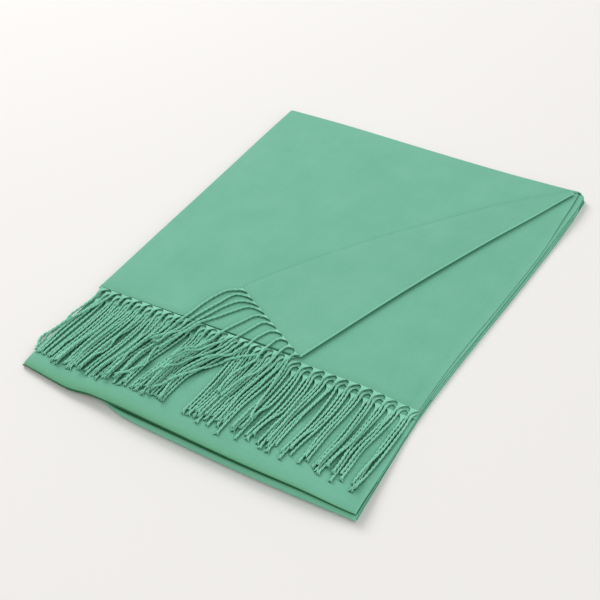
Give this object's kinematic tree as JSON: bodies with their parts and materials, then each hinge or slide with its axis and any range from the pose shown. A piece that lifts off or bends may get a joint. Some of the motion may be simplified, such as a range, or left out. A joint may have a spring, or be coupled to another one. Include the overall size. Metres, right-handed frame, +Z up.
{
  "type": "folded pashmina shawl",
  "caption": "Woven shawl folded to an eighth of its size, with twisted fringe on its open ends and the top corner turned back.",
  "frame": {"origin": "middle of the underside, on the surface that the folded shawl lies on", "axes": "+X along the front fold to the open edges, +Y from the fringed front to the back fold, +Z up"},
  "size_m": [0.3642, 0.522, 0.0253],
  "materials": {
    "cloth": "fine twill of brushed mint green wool and silk, matte with a soft sheen",
    "fringe": "twisted two-strand cords of the same mint green yarn, matte"
  },
  "bodies": {
    "root": {"top_ply": "cloth", "turned_corner": "cloth", "second_ply": "cloth", "inner_layers": "cloth", "upper_front_fold": "cloth", "lower_front_fold": "cloth", "fringe_top_ply": "fringe", "fringe_second_ply": "fringe", "fringe_third_ply": "fringe", "fringe_fourth_ply": "fringe", "fringe_turned_corner": "fringe"}
  },
  "joints": []
}
